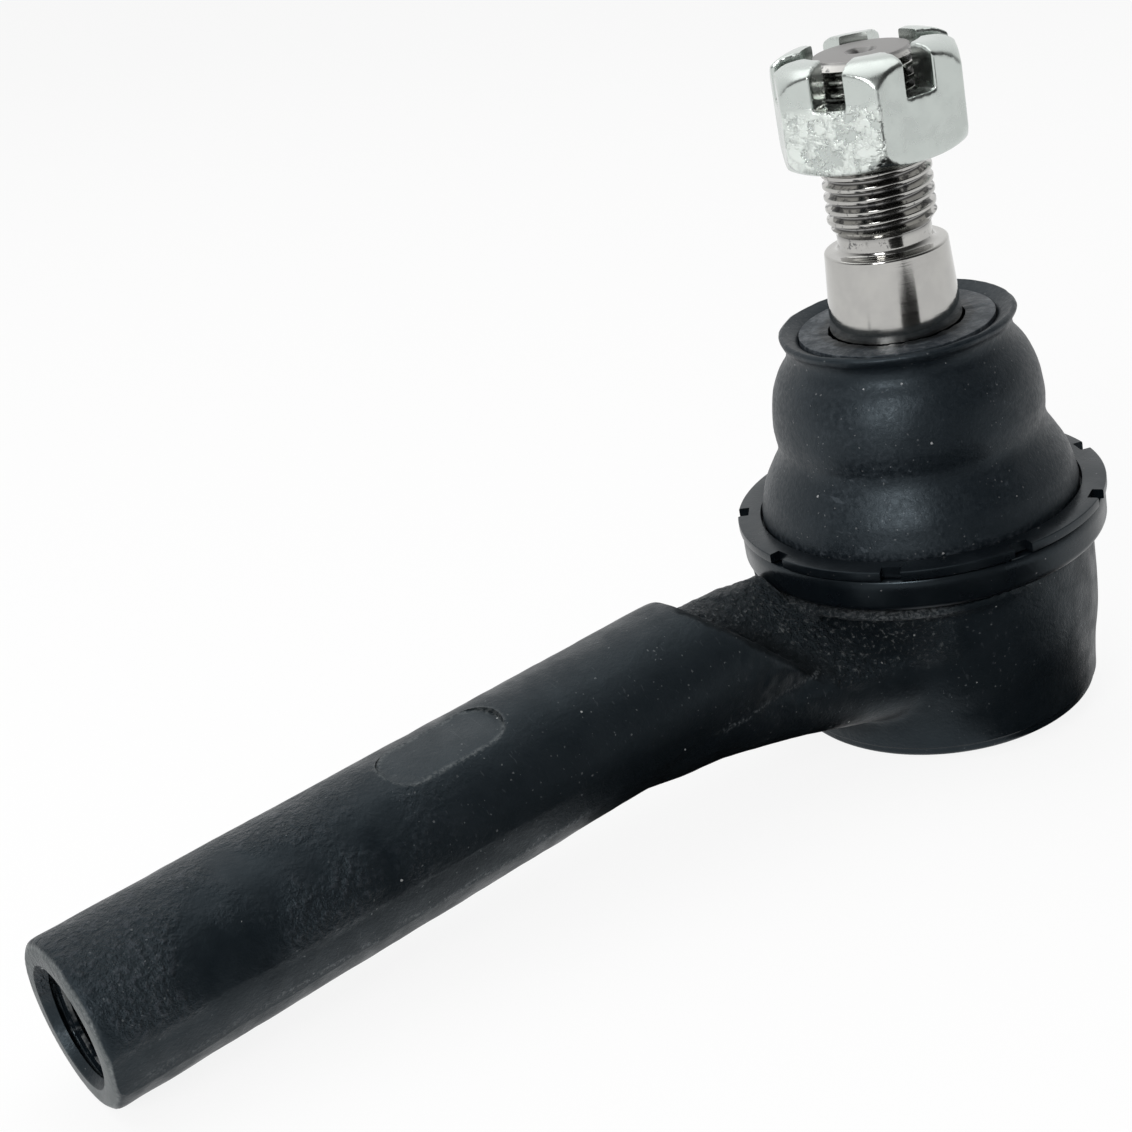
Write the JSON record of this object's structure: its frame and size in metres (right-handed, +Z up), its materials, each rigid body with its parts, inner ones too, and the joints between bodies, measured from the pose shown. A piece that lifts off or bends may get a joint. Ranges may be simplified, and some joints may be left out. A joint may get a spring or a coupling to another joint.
{
  "type": "tie rod end",
  "caption": "Forged tie rod end: long female-threaded stem and round ball socket, tapered ball stud with castle nut, rubber dust boot.",
  "frame": {"origin": "middle of the closing cover's outer face, on the socket's axis", "axes": "+Z up the stud, -X along the stem to its threaded end"},
  "size_m": [0.1553, 0.0494, 0.09],
  "materials": {
    "black_coating": "satin black coat on a rough forging",
    "cover_steel": "black coat on pressed steel",
    "spring_steel": "oiled spring steel",
    "bearing_plastic": "natural acetal",
    "ring_black": "semi-gloss black",
    "rubber": "satin moulded rubber, dusty",
    "collar_rubber": "matt grey-black",
    "polished_steel": "ground and polished",
    "zinc_plate": "bright zinc plate"
  },
  "bodies": {
    "housing": {"housing": "black_coating", "end_cover": "cover_steel", "preload_spring": "spring_steel", "lower_bearing": "bearing_plastic", "upper_bearing": "bearing_plastic", "boot_base_band": "ring_black", "boot_retaining_ring": "ring_black"},
    "boot": {"boot": "rubber"},
    "boot_collar": {"boot_collar_ring": "collar_rubber"},
    "stud": {"ball_stud": "polished_steel"},
    "nut": {"castle_nut": "zinc_plate"}
  },
  "joints": [
    {"name": "stud_tilt_x", "type": "hinge", "parent": "housing", "child": "boot", "pos_m": [0, 0, 0.0175], "axis": [1, 0, 0], "range_deg": [-18, 18], "deforming": ["boot"]},
    {"name": "stud_tilt_y", "type": "hinge", "parent": "boot", "child": "boot_collar", "pos_m": [0, 0, 0.0175], "axis": [0, 1, 0], "range_deg": [-18, 18], "deforming": ["boot"]},
    {"name": "stud_spin", "type": "hinge", "parent": "boot_collar", "child": "stud", "pos_m": [0, 0, 0.0175], "axis": [0, 0, 1], "continuous": true},
    {"name": "nut_travel", "type": "slide", "parent": "stud", "child": "nut", "axis": [0, 0, 1], "range_m": [-0.0115, 0.0113]}
  ]
}
